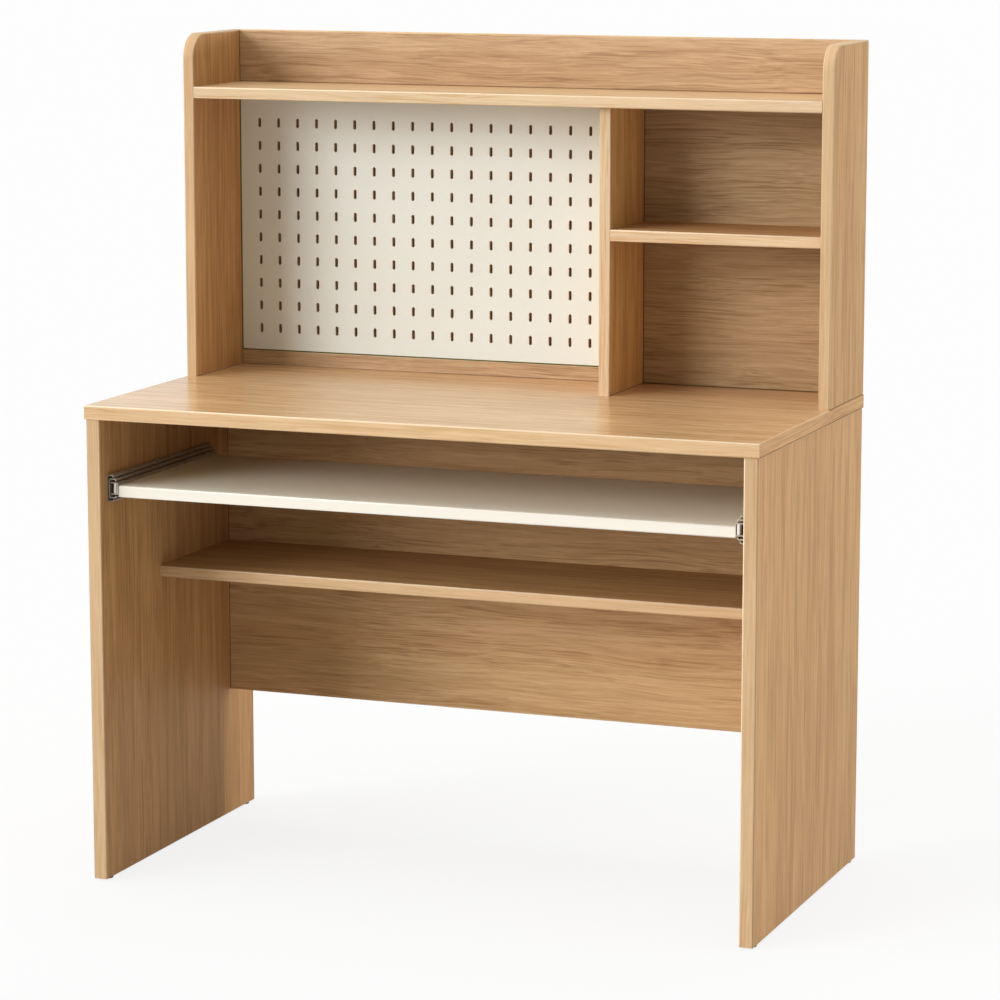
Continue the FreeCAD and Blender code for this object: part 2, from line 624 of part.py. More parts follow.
def hutch_boards():
    for s, name in ((-1, "left"), (1, "right")):
        core, band = hutch_side(s)
        board("hutch_" + name + "_side", core)
        save("hutch_" + name + "_edge_band", band)
    wide = (-HX0, HX0)
    z = (TS_Z0, TOPSHELF_TOP)
    board("hutch_top_shelf", box(wide, (HY0 + BAND_T, BACK), z))
    save("top_shelf_edge_band", box(wide, (HY0, HY0 + BAND_T), z))
    y = (RAIL_Y0, BACK)
    board("upper_back_rail", box(wide, y, (TOPSHELF_TOP, TOTAL_H - BAND_T)))
    save("upper_rail_edge_band", box(wide, y, (TOTAL_H - BAND_T, TOTAL_H)))
    board("lower_back_rail", box((-HX0, DIV_X0), y, (DESK_H, PEG_Z0)))
    z = (DESK_H, TS_Z0)
    board("hutch_divider", box((DIV_X0, DIV_X1), (DIV_Y0 + BAND_T, BACK), z))
    save("divider_edge_band", box((DIV_X0, DIV_X1), (DIV_Y0, DIV_Y0 + BAND_T), z))
    x = (DIV_X1, HX0)
    z = (CUBBY_Z0, CUBBY_TOP)
    board("cubby_shelf", box(x, (DIV_Y0 + BAND_T, PANEL_Y0), z))
    save("cubby_shelf_edge_band", box(x, (DIV_Y0, DIV_Y0 + BAND_T), z))
    x = (DIV_X1 - BAR, HX0 + BAR)
    save("cubby_back_panel", box(x, (PANEL_Y0, PANEL_Y1), (DESK_H, TS_Z0)))
    save("pegboard", pegboard())
    x = (-HX0 - BAR, DIV_X0 + BAR)
    save("pegboard_backing", box(x, (BACKING_Y0, BACKING_Y1), (PEG_Z0, TS_Z0)))


# ---------------------------------------------------------------- build
slides()
desk_fittings()
hutch_fittings()
desk_boards()
tray()
hutch_boards()
for node, solids in hardware.items():
    group(node, solids)
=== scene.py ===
"""Student desk with a hutch and a pull-out keyboard tray: its looks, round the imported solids.

Metres. +X to the right of someone sitting at the desk, +Y to the back, +Z up."""

import math

import bmesh
import bpy
from mathutils import Euler, Matrix, Vector


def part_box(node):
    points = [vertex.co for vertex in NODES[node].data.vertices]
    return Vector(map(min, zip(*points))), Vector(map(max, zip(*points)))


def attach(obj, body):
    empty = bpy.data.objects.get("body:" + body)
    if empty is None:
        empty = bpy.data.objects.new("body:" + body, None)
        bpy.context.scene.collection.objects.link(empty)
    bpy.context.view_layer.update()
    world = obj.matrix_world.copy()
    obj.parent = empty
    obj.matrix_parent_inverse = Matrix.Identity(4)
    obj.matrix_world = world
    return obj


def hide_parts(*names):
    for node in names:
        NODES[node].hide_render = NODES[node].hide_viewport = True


bl_info = {
    "name": "Student desk with hutch",
    "version": (1, 0, 0),
    "blender": (4, 5, 0),
    "location": "3D View > Sidebar > Desk",
    "description": "Builds the boards, edge bands, pegboard, tray and finishes of a student desk",
    "category": "Object",
}

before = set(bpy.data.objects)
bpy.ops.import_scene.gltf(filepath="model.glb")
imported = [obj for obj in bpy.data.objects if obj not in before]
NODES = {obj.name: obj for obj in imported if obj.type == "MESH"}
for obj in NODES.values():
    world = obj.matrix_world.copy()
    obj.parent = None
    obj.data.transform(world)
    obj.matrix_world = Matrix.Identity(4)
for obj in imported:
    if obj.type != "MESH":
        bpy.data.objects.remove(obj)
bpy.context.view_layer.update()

MM = 0.001
NEAR = 1e-5              # two places closer than this are the same
SHARP = 0.7              # faces that turn by more than this, in radians, meet in an edge

# marks on faces: above 0 a rubbed arris, paler as wear and as a painted highlight; below 0
# painted shade where boards meet
WEAR_AND_HIGHLIGHT = 1.0
PLAIN = 0.0
SEAM_SHADE = -1.0


# ---- sizes and colours
def length(name, description, value, least):
    """A length, its default and its least value in millimetres."""
    return bpy.props.FloatProperty(name=name, description=description, default=value * MM,
                                   min=least * MM, unit="LENGTH")


class DeskSizes(bpy.types.PropertyGroup):
    """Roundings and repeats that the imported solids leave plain."""

    board_arris: length("Board arris", "Rounding along the edges of every board",
                        0.6, 0.05)
    band_arris: length("Band arris", "Rounding along the outer edges of the edge bands",
                       1.9, 0.1)
    joint_arris: length("Joint arris", "Rounding of a board or band where it meets another",
                        1.0, 0.05)
    corner_radius: length("Hutch corner", "Radius of the front top corner of the hutch sides",
                          40, 5)
    slot_width: length("Slot width", "Width of one slot in the pegboard",
                       5, 1)
    slot_length: length("Slot length", "Height of one slot in the pegboard",
                        15, 2)
    slot_columns: bpy.props.IntProperty(
        name="Slot columns", description="Slots side by side", default=19, min=1)
    slot_rows: bpy.props.IntProperty(
        name="Slot rows", description="Slots one above the other", default=10, min=1)
    slot_pitch_x: length("Column pitch", "From one column of slots to the next",
                         33.9, 1)
    slot_pitch_z: length("Row pitch", "From one row of slots to the next",
                         37.6, 1)
    slot_rise: length("First row", "Middle of the lowest row above the board's bottom edge",
                      37, 1)


def colour(name, description, value):
    return bpy.props.FloatVectorProperty(
        name=name, description=description, default=value, size=3, min=0.0, max=1.0,
        subtype="COLOR")


class DeskColours(bpy.types.PropertyGroup):
    """Colours of the finishes, as linear values."""

    oak_light: colour("Oak, light", "Pale early wood of the laminate", (0.730, 0.487, 0.265))
    oak_mid: colour("Oak, middle", "Ground colour of the laminate", (0.615, 0.388, 0.195))
    oak_dark: colour("Oak, dark", "Darker streaks of the laminate", (0.370, 0.205, 0.085))
    golden_light: colour("Golden oak, light", "Pale wood of the sides and lower boards",
                         (0.715, 0.438, 0.206))
    golden_mid: colour("Golden oak, middle", "Ground colour of the sides and lower boards",
                       (0.552, 0.317, 0.134))
    golden_dark: colour("Golden oak, dark", "Streaks of the sides and lower boards",
                        (0.375, 0.188, 0.086))
    brown_light: colour("Brown oak, light", "Pale wood of the back rails and the cubby back",
                        (0.640, 0.435, 0.265))
    brown_mid: colour("Brown oak, middle", "Ground colour of the back rails and cubby back",
                      (0.520, 0.335, 0.190))
    brown_dark: colour("Brown oak, dark", "Streaks of the back rails and the cubby back",
                       (0.310, 0.180, 0.090))
    band_light: colour("Band, light", "Pale ground of the edge bands", (0.735, 0.515, 0.312))
    pale_band: colour("Pale band", "Ground of the bands in the hutch", (0.765, 0.590, 0.395))
    band_dark: colour("Band, dark", "Streaks of the edge bands", (0.560, 0.340, 0.160))
    # painted highlight and wear: the pale colour of rubbed edges
    arris: colour("Arris", "Rubbed edges of the boards and bands", (0.820, 0.650, 0.465))
    seam: colour("Seam", "Shaded line where two boards meet", (0.050, 0.025, 0.011))
    tray_white: colour("Tray white", "Laminate of the keyboard tray", (0.905, 0.900, 0.800))
    tray_edge: colour("Tray edge", "Edge band of the keyboard tray", (0.835, 0.795, 0.715))
    board_cream: colour("Pegboard cream", "Paint of the pegboard", (0.752, 0.788, 0.748))
    board_core: colour("Pegboard core", "Raw board in the slots", (0.620, 0.440, 0.240))
    hardboard: colour("Hardboard", "Backing behind the pegboard", (0.520, 0.350, 0.180))
    slide_zinc: colour("Slide zinc", "Zinc-plated slides", (0.500, 0.440, 0.370))


# ---- shaping
def cuboid(lo, hi):
    """Box between two corners, with a face mark for its rounded edges."""
    bm = bmesh.new()
    bm.faces.layers.float.new("arris")
    middle = Matrix.Translation((lo + hi) / 2)
    bmesh.ops.create_cube(bm, size=1.0, matrix=middle @ Matrix.Diagonal((*(hi - lo), 1.0)))
    return bm


def soften(bm, radius, segments, edges, mark=WEAR_AND_HIGHLIGHT):
    """Rounds the edges. The new faces are shaded smooth and marked."""
    made = bmesh.ops.bevel(bm, geom=edges, offset=radius, offset_type="OFFSET",
                           segments=segments, profile=0.5, affect="EDGES", material=-1,
                           clamp_overlap=True)
    layer = bm.faces.layers.float["arris"]
    for face in made["faces"]:
        face.smooth = True
        face[layer] = mark


def on(element, axis, place):
    """Whether an edge or a face lies wholly at this place along the axis."""
    return all(abs(v.co[axis] - place) < NEAR for v in element.verts)


def sharp_edges(bm):
    """Edges between two faces that turn by more than a rounded corner's step."""
    return [e for e in bm.edges if len(e.link_faces) == 2 and e.calc_face_angle() > SHARP]


def cut_across(bm, place, way):
    """Divides the faces that a plane crosses."""
    bmesh.ops.bisect_plane(bm, geom=[*bm.verts, *bm.edges, *bm.faces],
                           plane_co=place, plane_no=way)


def moved_copy(bm, extruded, shift):
    """Moves the corners that an extrusion has drawn."""
    bmesh.ops.translate(bm, vec=shift,
                        verts=[g for g in extruded if isinstance(g, bmesh.types.BMVert)])


def mesh_object(name, bm):
    """The mesh as an object in the scene."""
    mesh = bpy.data.meshes.new(name)
    bm.to_mesh(mesh)
    bm.free()
    made = bpy.data.objects.new(name, mesh)
    bpy.context.scene.collection.objects.link(made)
    return made


def piece(name, bm, body, finish, nodes):
    """The finished mesh as an object that rides on its body and stands for its nodes."""
    made = mesh_object(name, bm)
    for one in finish if isinstance(finish, tuple) else (finish,):
        made.data.materials.append(material(one))
    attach(made, body)
    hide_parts(*nodes)


def on_side(element, sides, lo, hi):
    """Whether an edge lies on one of the named sides of the box, such as "-y" or "+z"."""
    for sign, letter in sides:
        axis = "xyz".index(letter)
        if on(element, axis, (hi if sign == "+" else lo)[axis]):
            return True
    return False


def rim_lines(bm, left, right, foot, mark):
    """Cuts a sheet along these places and marks what lies beyond them: the thin shade
    where it meets the boards round it."""
    cut_across(bm, (left, 0.0, 0.0), (1.0, 0.0, 0.0))
    cut_across(bm, (right, 0.0, 0.0), (1.0, 0.0, 0.0))
    cut_across(bm, (0.0, 0.0, foot), (0.0, 0.0, 1.0))
    layer = bm.faces.layers.float["arris"]
    for face in bm.faces:
        middle = face.calc_center_median()
        if not left < middle.x < right or middle.z < foot:
            face[layer] = mark


def board_piece(node, finish, body="desk", seams=(), rim=None):
    """Board with every edge lightly rounded and marked with wear and a painted highlight; it
    meets another board on the seams' sides, which get painted shade, and beyond the rim's left,
    right and lower place, which its last value marks as painted shade."""
    sizes = bpy.context.scene.desk_sizes
    lo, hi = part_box(node)
    bm = cuboid(lo, hi)
    met = [e for e in bm.edges if on_side(e, seams, lo, hi)]
    if met:
        soften(bm, sizes.joint_arris, 1, met, SEAM_SHADE)
    soften(bm, sizes.board_arris, 2, sharp_edges(bm))
    if rim:
        rim_lines(bm, *rim)
    piece(node + "_board", bm, body, finish, [node])


BAND_STEPS = 4           # faces across a band's rounded arris
COVERED = -0.4           # mark of a band's arris under a board that stands on it: painted shade


def band_piece(name, lo, hi, axis, outer, finish, nodes, pale="+z", dull=PLAIN, covered=None,
               wear_and_highlight=WEAR_AND_HIGHLIGHT, body="desk", slot="oak_edge_band"):
    """Straight edge band between two corners: well rounded along its outer face, which
    lies at the place outer on the axis, and with a seam of painted shade where it meets other
    boards. The arris on the pale side gets wear and a painted highlight; the other one carries
    the dull mark, which paints shade where it is below 0. Behind the place covered a board
    stands on the band, and painted shade darkens its arris there."""
    sizes = bpy.context.scene.desk_sizes
    bm = cuboid(lo, hi)
    along = max(range(3), key=lambda i: (hi - lo)[i])
    outward = [e for e in bm.edges if on(e, axis, outer)
               and abs(e.verts[0].co[along] - e.verts[1].co[along]) > NEAR]
    lit = [e for e in outward if pale and on_side(e, (pale,), lo, hi)]
    soften(bm, sizes.band_arris, BAND_STEPS, lit, wear_and_highlight)
    soften(bm, sizes.band_arris, BAND_STEPS,
           [e for e in outward if e.is_valid and e not in lit], dull)
    ends = [e for e in sharp_edges(bm) if on(e, along, lo[along]) or on(e, along, hi[along])]
    soften(bm, sizes.joint_arris, 1, ends, SEAM_SHADE)
    if covered is not None:
        cut_across(bm, (0.0, covered, 0.0), (0.0, 1.0, 0.0))
        layer = bm.faces.layers.float["arris"]
        for face in bm.faces:
            if face[layer] > 0 and face.calc_center_median().y > covered:
                face[layer] = COVERED
    piece(name, bm, body, finish, nodes)


# ---- shader groups
def group_tree(name, inputs, outputs):
    """New shader node group with these sockets, the values given to it, and its end node."""
    tree = bpy.data.node_groups.new(name, "ShaderNodeTree")
    kinds = {"v": "NodeSocketVector", "f": "NodeSocketFloat", "c": "NodeSocketColor"}
    for label, kind, value in inputs:
        socket = tree.interface.new_socket(label, in_out="INPUT", socket_type=kinds[kind])
        if value is not None:
            socket.default_value = value
    for label, kind in outputs:
        tree.interface.new_socket(label, in_out="OUTPUT", socket_type=kinds[kind])
    given = tree.nodes.new("NodeGroupInput").outputs
    return tree, given, tree.nodes.new("NodeGroupOutput")


def node(tree, kind, **settings):
    """Node of a kind, its properties set by name and its inputs by number or name."""
    made = tree.nodes.new("ShaderNode" + kind)
    for key, value in settings.get("put", {}).items():
        setattr(made, key, value)
    for key, value in settings.get("into", {}).items():
        made.inputs[key].default_value = value
    return made


def join(tree, *pairs):
    for start, end in pairs:
        tree.links.new(start, end)


def feed(tree, socket, value):
    """Links a socket to where its value comes from, or sets it to a plain value."""
    if isinstance(value, bpy.types.NodeSocket):
        join(tree, (value, socket))
    else:
        socket.default_value = value


def feed_all(tree, end, **values):
    """Feeds the sockets of a node by their names, with _ for each space."""
    for label, value in values.items():
        feed(tree, end.inputs[label.replace("_", " ")], value)


def noise(tree, vector, scale, detail, roughness=0.5):
    made = node(tree, "TexNoise", into={"Detail": detail, "Roughness": roughness})
    feed_all(tree, made, Vector=vector, Scale=scale)
    return made.outputs["Fac"]


def stretch(tree, vector, scale, offset=(0.0, 0.0, 0.0)):
    made = node(tree, "Mapping", into={"Scale": scale, "Location": offset})
    join(tree, (vector, made.inputs["Vector"]))
    return made.outputs["Vector"]


def strands(tree, path, along, across, offset, detail, roughness=0.5):
    """Noise drawn out along X: this many cells a metre along it and across it."""
    return noise(tree, stretch(tree, path, (along, across, across), offset), 1.0, detail,
                 roughness)


def band_of(tree, value, low, high):
    """The value, spread so that low becomes 0 and high becomes 1."""
    made = node(tree, "MapRange", put={"clamp": True},
                into={"From Min": low, "From Max": high})
    join(tree, (value, made.inputs["Value"]))
    return made.outputs["Result"]


def calc(tree, operation, a, b=None, clamp=False):
    made = node(tree, "Math", put={"operation": operation, "use_clamp": clamp})
    for i, term in enumerate((a, b)):
        if term is not None:
            feed(tree, made.inputs[i], term)
    return made.outputs[0]


def times(tree, a, b, clamp=False):
    return calc(tree, "MULTIPLY", a, b, clamp)


def plus(tree, a, b):
    return calc(tree, "ADD", a, b)


def colour_socket(made, name):
    """The colour input or output of a Mix node, which has several of one name."""
    return [s for s in made if s.name == name and s.type == "RGBA"][0]


def mix_rgb(tree, share, a, b, kind="MIX"):
    made = node(tree, "Mix", put={"data_type": "RGBA", "blend_type": kind})
    sockets = (made.inputs[0], colour_socket(made.inputs, "A"), colour_socket(made.inputs, "B"))
    for socket, term in zip(sockets, (share, a, b)):
        feed(tree, socket, term)
    return colour_socket(made.outputs, "Result")


# what the group of a finish gives; the height is the relief of its surface
SKIN = (("Color", "c"), ("Roughness", "f"), ("Height", "f"))


def oak_grain_group():
    """Straight-grained oak: soft bands, streaks and short pores along X."""
    tree, given, end = group_tree(
        "Oak grain",
        [("Along the grain", "v", None), ("Light", "c", (0.6, 0.4, 0.2, 1)),
         ("Middle", "c", (0.5, 0.3, 0.2, 1)), ("Dark", "c", (0.4, 0.2, 0.1, 1)),
         ("Waviness", "f", 0.5), ("Streaks", "f", 0.5), ("Base roughness", "f", 0.4)],
        SKIN)
    at = given["Along the grain"]
    # slow drift that bends the streaks a little
    drift = node(tree, "TexNoise", into={"Scale": 1.0, "Detail": 2.0, "Roughness": 0.5})
    join(tree, (stretch(tree, at, (3.2, 9.0, 9.0)), drift.inputs["Vector"]))
    centred = node(tree, "VectorMath", put={"operation": "SUBTRACT"},
                   into={1: (0.5, 0.5, 0.5)})
    join(tree, (drift.outputs["Color"], centred.inputs[0]))
    scaled = node(tree, "VectorMath", put={"operation": "SCALE"})
    join(tree, (centred.outputs[0], scaled.inputs[0]),
         (times(tree, given["Waviness"], 0.03), scaled.inputs["Scale"]))
    moved = node(tree, "VectorMath", put={"operation": "ADD"})
    join(tree, (at, moved.inputs[0]), (scaled.outputs[0], moved.inputs[1]))
    path = moved.outputs[0]
    broad = strands(tree, path, 0.9, 15.0, (0.0, 0.0, 0.0), 2.0)
    bands = strands(tree, path, 3.2, 64.0, (3.1, 0.7, 1.9), 3.0, 0.6)
    streaks = strands(tree, path, 5.5, 250.0, (1.3, 4.1, 0.2), 3.0, 0.6)
    dashes = strands(tree, path, 8.5, 390.0, (6.0, 3.0, 2.0), 2.0, 0.55)
    fibres = strands(tree, path, 26.0, 900.0, (8.0, 2.0, 5.0), 2.0, 0.6)
    pores = strands(tree, path, 95.0, 1500.0, (2.0, 9.0, 7.0), 1.0)
    lively = strands(tree, path, 2.0, 22.0, (7.7, 5.5, 3.3), 2.0)
    drifting = strands(tree, path, 1.1, 19.0, (4.4, 8.1, 6.6), 2.0)
    # pale wood and ground
    soft = plus(tree, times(tree, broad, 0.24), times(tree, bands, 0.34))
    lightness = plus(tree, soft, times(tree, streaks, 0.42))
    ground = mix_rgb(tree, band_of(tree, lightness, 0.44, 0.56),
                     given["Middle"], given["Light"])
    # dark dashes, which gather in clumps
    clumps = band_of(tree, plus(tree, bands, lively), 1.12, 0.86)
    spread = plus(tree, times(tree, clumps, 0.55), 0.30)
    dark_lines = times(tree, band_of(tree, dashes, 0.47, 0.66), spread)
    dark_share = times(tree, dark_lines, given["Streaks"], clamp=True)
    streaked = mix_rgb(tree, dark_share, ground, given["Dark"])
    # fibres and pores
    fibre_share = times(tree, band_of(tree, fibres, 0.35, 0.70),
                        times(tree, given["Streaks"], 0.30))
    fibred = mix_rgb(tree, fibre_share, streaked, given["Dark"])
    pore_share = times(tree, band_of(tree, pores, 0.66, 0.76), 0.30)
    pored = mix_rgb(tree, pore_share, fibred, given["Dark"])
    # slow change of hue
    hue = mix_rgb(tree, band_of(tree, drifting, 0.36, 0.64), (1.01, 0.982, 0.975, 1.0),
                  (0.995, 1.005, 0.99, 1.0))
    final = mix_rgb(tree, 1.0, pored, hue, "MULTIPLY")
    rough = plus(tree, given["Base roughness"], times(tree, streaks, 0.10))
    height = calc(tree, "SUBTRACT", times(tree, fibres, 0.5), pore_share)
    feed_all(tree, end, Color=final, Roughness=rough, Height=height)
    return tree


def arris_group():
    """Edges: a rubbed arris is paler and smoother, as wear and as a painted highlight, and a seam
    between two boards darker, as painted shade.
    """
    tree, given, end = group_tree(
        "Arris wear",
        [("Vector", "v", None), ("Color", "c", (0.5, 0.5, 0.5, 1)),
         ("Worn", "c", (0.8, 0.7, 0.5, 1)), ("Seam", "c", (0.1, 0.1, 0.0, 1)),
         ("Roughness", "f", 0.4), ("Amount", "f", 0.5), ("Line", "f", 0.0)],
        [("Color", "c"), ("Roughness", "f")])
    mark = node(tree, "Attribute", put={"attribute_name": "arris"})
    # painted highlight and wear: marks above 0 make the arris paler and smoother
    wear_and_highlight = band_of(tree, noise(tree, given["Vector"], 90.0, 3.0), 0.10, 0.45)
    pale = calc(tree, "MAXIMUM", mark.outputs["Fac"], 0.0)
    share = times(tree, times(tree, pale, wear_and_highlight), given["Amount"], clamp=True)
    worn_highlit_edge = mix_rgb(tree, share, given["Color"], given["Worn"])
    # painted shade: marks below 0, and the line from end_lines, darken the edge toward the seam
    # colour
    dark = calc(tree, "MAXIMUM", given["Line"], times(tree, mark.outputs["Fac"], -1.0),
                clamp=True)
    worn = mix_rgb(tree, dark, worn_highlit_edge, given["Seam"])
    rubbed_rough = plus(tree, given["Roughness"], times(tree, share, -0.20))
    rough = calc(tree, "MAXIMUM", rubbed_rough, times(tree, dark, 2.0, clamp=True))
    feed_all(tree, end, Color=worn, Roughness=rough)
    return tree


def paint_group():
    """Smooth sheet finish: faint clouding and a fine pebbled skin."""
    tree, given, end = group_tree(
        "Sheet finish",
        [("Vector", "v", None), ("Color", "c", (0.8, 0.8, 0.7, 1)),
         ("Shade", "c", (0.7, 0.7, 0.6, 1)), ("Cloud scale", "f", 7.0),
         ("Pebble scale", "f", 900.0), ("Roughness", "f", 0.5)],
        SKIN)
    at = given["Vector"]
    clouds = band_of(tree, noise(tree, at, given["Cloud scale"], 3.0), 0.35, 0.70)
    specks = band_of(tree, noise(tree, at, 420.0, 2.0), 0.62, 0.75)
    pebble = noise(tree, at, given["Pebble scale"], 2.0, 0.6)
    clouded = mix_rgb(tree, times(tree, clouds, 0.5), given["Color"], given["Shade"])
    specked = mix_rgb(tree, times(tree, specks, 0.25), clouded, given["Shade"])
    rough = plus(tree, given["Roughness"],
                 times(tree, calc(tree, "SUBTRACT", clouds, 0.5), 0.10))
    feed_all(tree, end, Color=specked, Roughness=rough, Height=pebble)
    return tree


def metal_group():
    """Plated steel: drawn lines along Y, dull patches and scuffs."""
    tree, given, end = group_tree(
        "Plated steel",
        [("Vector", "v", None), ("Color", "c", (0.5, 0.5, 0.5, 1)),
         ("Dull", "c", (0.3, 0.3, 0.3, 1)), ("Roughness", "f", 0.35), ("Grain", "f", 1.0)],
        SKIN)
    at = given["Vector"]
    lines = noise(tree, stretch(tree, at, (1500.0, 30.0, 1500.0)), 1.0, 2.0)
    patches = band_of(tree, noise(tree, at, 60.0, 4.0, 0.6), 0.35, 0.70)
    scuffs = band_of(tree, noise(tree, stretch(tree, at, (500.0, 110.0, 500.0)), 1.0, 3.0),
                     0.60, 0.75)
    tinted = mix_rgb(tree, times(tree, patches, 0.6), given["Color"], given["Dull"])
    scuffed = mix_rgb(tree, times(tree, scuffs, 0.35), tinted, given["Dull"])
    wide = plus(tree, times(tree, patches, 0.12), times(tree, scuffs, 0.15))
    feed_all(tree, end, Color=scuffed, Roughness=plus(tree, given["Roughness"], wide),
             Height=times(tree, lines, given["Grain"]))
    return tree


GROUPS = {"Oak grain": oak_grain_group, "Arris wear": arris_group,
          "Sheet finish": paint_group, "Plated steel": metal_group}


def use_group(tree, name, **values):
    """One of the shared groups, built when it is first asked for."""
    shared = bpy.data.node_groups.get(name) or GROUPS[name]()
    made = tree.nodes.new("ShaderNodeGroup")
    made.node_tree = shared
    feed_all(tree, made, **values)
    return made


# ---- materials
def blank_material(name):
    made = bpy.data.materials.new(name)
    made.use_nodes = True
    tree = made.node_tree
    return made, tree, tree.nodes["Principled BSDF"]


def four(rgb):
    return (*rgb, 1.0)


def shaded(rgb, share):
    return tuple(min(1.0, c * share) for c in rgb) + (1.0,)


def place(tree, turn=(0.0, 0.0, 0.0), offset=(0.0, 0.0, 0.0), attribute=None):
    """Where a point is on the desk, turned so that X runs along the grain."""
    if attribute:
        source = node(tree, "Attribute", put={"attribute_name": attribute}).outputs["Vector"]
    else:
        source = node(tree, "TexCoord").outputs["Object"]
    made = node(tree, "Mapping", into={"Rotation": turn, "Location": offset})
    join(tree, (source, made.inputs["Vector"]))
    return made.outputs["Vector"]


def finish_shader(tree, shader, skin, edge, strength, distance):
    """Feeds colour and roughness from edge, and the relief from skin."""
    made = node(tree, "Bump", into={"Strength": strength, "Distance": distance})
    join(tree, (skin.outputs["Height"], made.inputs["Height"]))
    feed_all(tree, shader, Base_Color=edge.outputs["Color"],
             Roughness=edge.outputs["Roughness"], Normal=made.outputs["Normal"])


# turns that lay the grain along the desk's X, Z and Y
ACROSS = (0.0, 0.0, 0.0)
UPRIGHT = (0.0, math.pi / 2, 0.0)
ENDWAYS = (0.0, 0.0, math.pi / 2)

PALETTES = {                 # pale wood, ground and streaks, by their names in DeskColours
    "oak": ("oak_light", "oak_mid", "oak_dark"),
    "golden": ("golden_light", "golden_mid", "golden_dark"),
    "brown": ("brown_light", "brown_mid", "brown_dark"),
    "band": ("band_light", "band_light", "band_dark"),
    "pale": ("pale_band", "pale_band", "band_dark"),
}
TONES = {                    # palette, its share in each of the three, and a tint
    "oak": ("oak", (1.04, 1.04, 1.03), (1.0, 1.0, 1.01)),
    "golden": ("golden", (1.0, 1.0, 1.0), (1.0, 1.0, 1.0)),
    # painted shade: the hutch sides are a darker copy of the golden oak, for how the light falls
    # on them
    "hutch": ("golden", (0.95, 0.95, 0.95), (1.0, 1.0, 1.0)),
    # painted light: the divider is a lighter copy of the golden oak, for its shaded faces in the
    # cubby
    "divider": ("golden", (1.20, 1.24, 1.20), (1.0, 1.08, 1.04)),
    # painted shade: the lower shelf and the cubby shelf are a darker copy of the golden oak, for
    # the shade they lie in
    "shelf": ("golden", (0.80, 0.79, 0.85), (1.0, 1.0, 1.0)),
    "brown": ("brown", (1.0, 1.0, 1.0), (0.98, 1.0, 1.02)),
    # painted shade: the cubby back is a darker copy of the brown oak, for the shade in the cubby
    "back": ("brown", (0.78, 0.78, 0.80), (1.0, 1.02, 0.95)),
    "modesty": ("oak", (0.97, 0.97, 0.98), (1.0, 1.0, 1.0)),
    "shelf top": ("oak", (1.0, 1.0, 1.0), (1.0, 1.07, 1.17)),
    "band": ("band", (1.0, 0.90, 1.0), (1.0, 1.0, 1.0)),
    "pale band": ("pale", (0.98, 0.88, 1.0), (1.0, 1.0, 1.01)),
    # painted shade: the upright bands are a darker copy of the band colour, for how the light
    # falls on them
    "upright band": ("band", (0.89, 0.78, 0.89), (1.0, 1.0, 1.0)),
}


def tones_of(kind):
    """Pale, ground and streak colours of one of the woods."""
    colours = bpy.context.scene.desk_colours
    palette, shares, tint = TONES[kind]
    tones = [tuple(c * share * t for c, t in zip(getattr(colours, name), tint)) + (1.0,)
             for name, share in zip(PALETTES[palette], shares)]
    return dict(zip(("Light", "Middle", "Dark"), tones))


END_SHADE = 0.7          # how dark the ends of a board are where they meet the sides
MODESTY_LIT = 514.6 * MM     # the modesty panel is lit this far from its middle
BAND_AT = (0.0, 0.11, 0.05)  # where the bands' grain starts
OAK_IOR = 1.45


def end_lines(tree, half):
    """Shade at both ends of a board that runs between two others, half its length away."""
    parts = node(tree, "SeparateXYZ")
    join(tree, (node(tree, "TexCoord").outputs["Object"], parts.inputs["Vector"]))
    past = calc(tree, "GREATER_THAN", calc(tree, "ABSOLUTE", parts.outputs["X"]), half)
    return times(tree, past, END_SHADE)


def oak(name, kind, turn=ACROSS, offset=(0.0, 0.0, 0.0), waviness=0.9, streaks=1.0,
        gloss=0.12, roughness=0.42, attribute=None, between=None):
    colours = bpy.context.scene.desk_colours
    made, tree, shader = blank_material(name)
    at = place(tree, turn, offset, attribute)
    grain = use_group(tree, "Oak grain", Along_the_grain=at, Waviness=waviness,
                      Streaks=streaks, Base_roughness=roughness, **tones_of(kind))
    worn = use_group(tree, "Arris wear", Vector=at, Color=grain.outputs["Color"],
                     Worn=four(colours.arris), Seam=four(colours.seam),
                     Roughness=grain.outputs["Roughness"],
                     Amount=1.0 if "band" in kind else 0.6,
                     Line=end_lines(tree, between) if between else 0.0)
    finish_shader(tree, shader, grain, worn, 0.25, 0.25 * MM)
    shader.inputs["IOR"].default_value = OAK_IOR
    shader.inputs["Specular IOR Level"].default_value = gloss
    return made


def sheet_finish(name, rgb, shade, roughness, pebble, strength, worn=1.08, clouds=7.0,
                 gloss=0.5):
    made, tree, shader = blank_material(name)
    at = place(tree)
    skin = use_group(tree, "Sheet finish", Vector=at, Color=four(rgb),
                     Shade=shaded(rgb, shade), Cloud_scale=clouds, Pebble_scale=pebble,
                     Roughness=roughness)
    edge = use_group(tree, "Arris wear", Vector=at, Color=skin.outputs["Color"],
                     Worn=shaded(rgb, worn), Roughness=skin.outputs["Roughness"], Amount=0.6)
    finish_shader(tree, shader, skin, edge, strength, 0.2 * MM)
    shader.inputs["Specular IOR Level"].default_value = gloss
    return made


def plated(name, rgb, dull, roughness, grain=1.0, strength=0.15, metallic=1.0):
    made, tree, shader = blank_material(name)
    skin = use_group(tree, "Plated steel", Vector=place(tree), Color=four(rgb),
                     Dull=shaded(rgb, dull), Roughness=roughness, Grain=grain)
    finish_shader(tree, shader, skin, skin, strength, 0.1 * MM)
    shader.inputs["Metallic"].default_value = metallic
    return made


